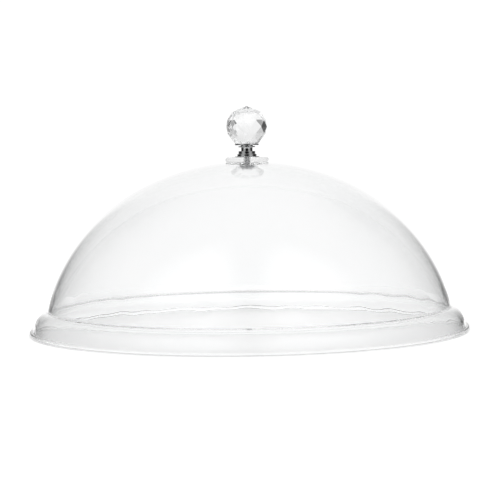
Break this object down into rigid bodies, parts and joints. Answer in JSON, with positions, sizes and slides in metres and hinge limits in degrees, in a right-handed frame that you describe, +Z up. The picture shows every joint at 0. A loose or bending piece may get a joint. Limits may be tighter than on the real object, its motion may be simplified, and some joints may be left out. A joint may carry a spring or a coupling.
{
  "type": "buffet food cover dome",
  "caption": "Clear moulded food cover with a flared rim, lifted by a faceted crystal ball knob on a stepped chromed base and clear spacer, held by a screw from inside.",
  "frame": {"origin": "centre of the rim's foot, on the surface that the cover stands on", "axes": "+Z up along the axis of the dome and the knob"},
  "size_m": [0.32, 0.32, 0.1636],
  "materials": {
    "clear_plastic": "clear moulded plastic, polished both sides",
    "spacer_plastic": "clear plastic with a rounded polished edge",
    "chrome": "bright chrome on turned metal",
    "crystal": "clear glass with polished flat facets",
    "steel": "plain zinc-plated steel",
    "silicone": "soft translucent silicone"
  },
  "bodies": {
    "dome": {"dome_shell": "clear_plastic", "spacer_disc": "spacer_plastic", "seal_washer": "silicone"},
    "knob": {"base_plate": "chrome", "knob_foot": "chrome", "knob_neck": "chrome", "crystal_ball": "crystal", "threaded_bush": "steel"},
    "washer": {"flat_washer": "steel"},
    "screw": {"fixing_screw": "steel"}
  },
  "joints": [
    {"name": "knob_spin", "type": "hinge", "parent": "dome", "child": "knob", "pos_m": [0, 0, 0.1263], "axis": [0, 0, 1], "continuous": true},
    {"name": "screw_withdraw", "type": "slide", "parent": "knob", "child": "washer", "axis": [0, 0, -1], "range_m": [0, 0.0077]},
    {"name": "screw_turn", "type": "hinge", "parent": "washer", "child": "screw", "pos_m": [0, 0, 0.1186], "axis": [0, 0, -1], "range_deg": [0, 3960]}
  ],
  "couplings": [
    {"joint": "screw_turn", "follows": "screw_withdraw", "rad_per_m": 8976}
  ]
}
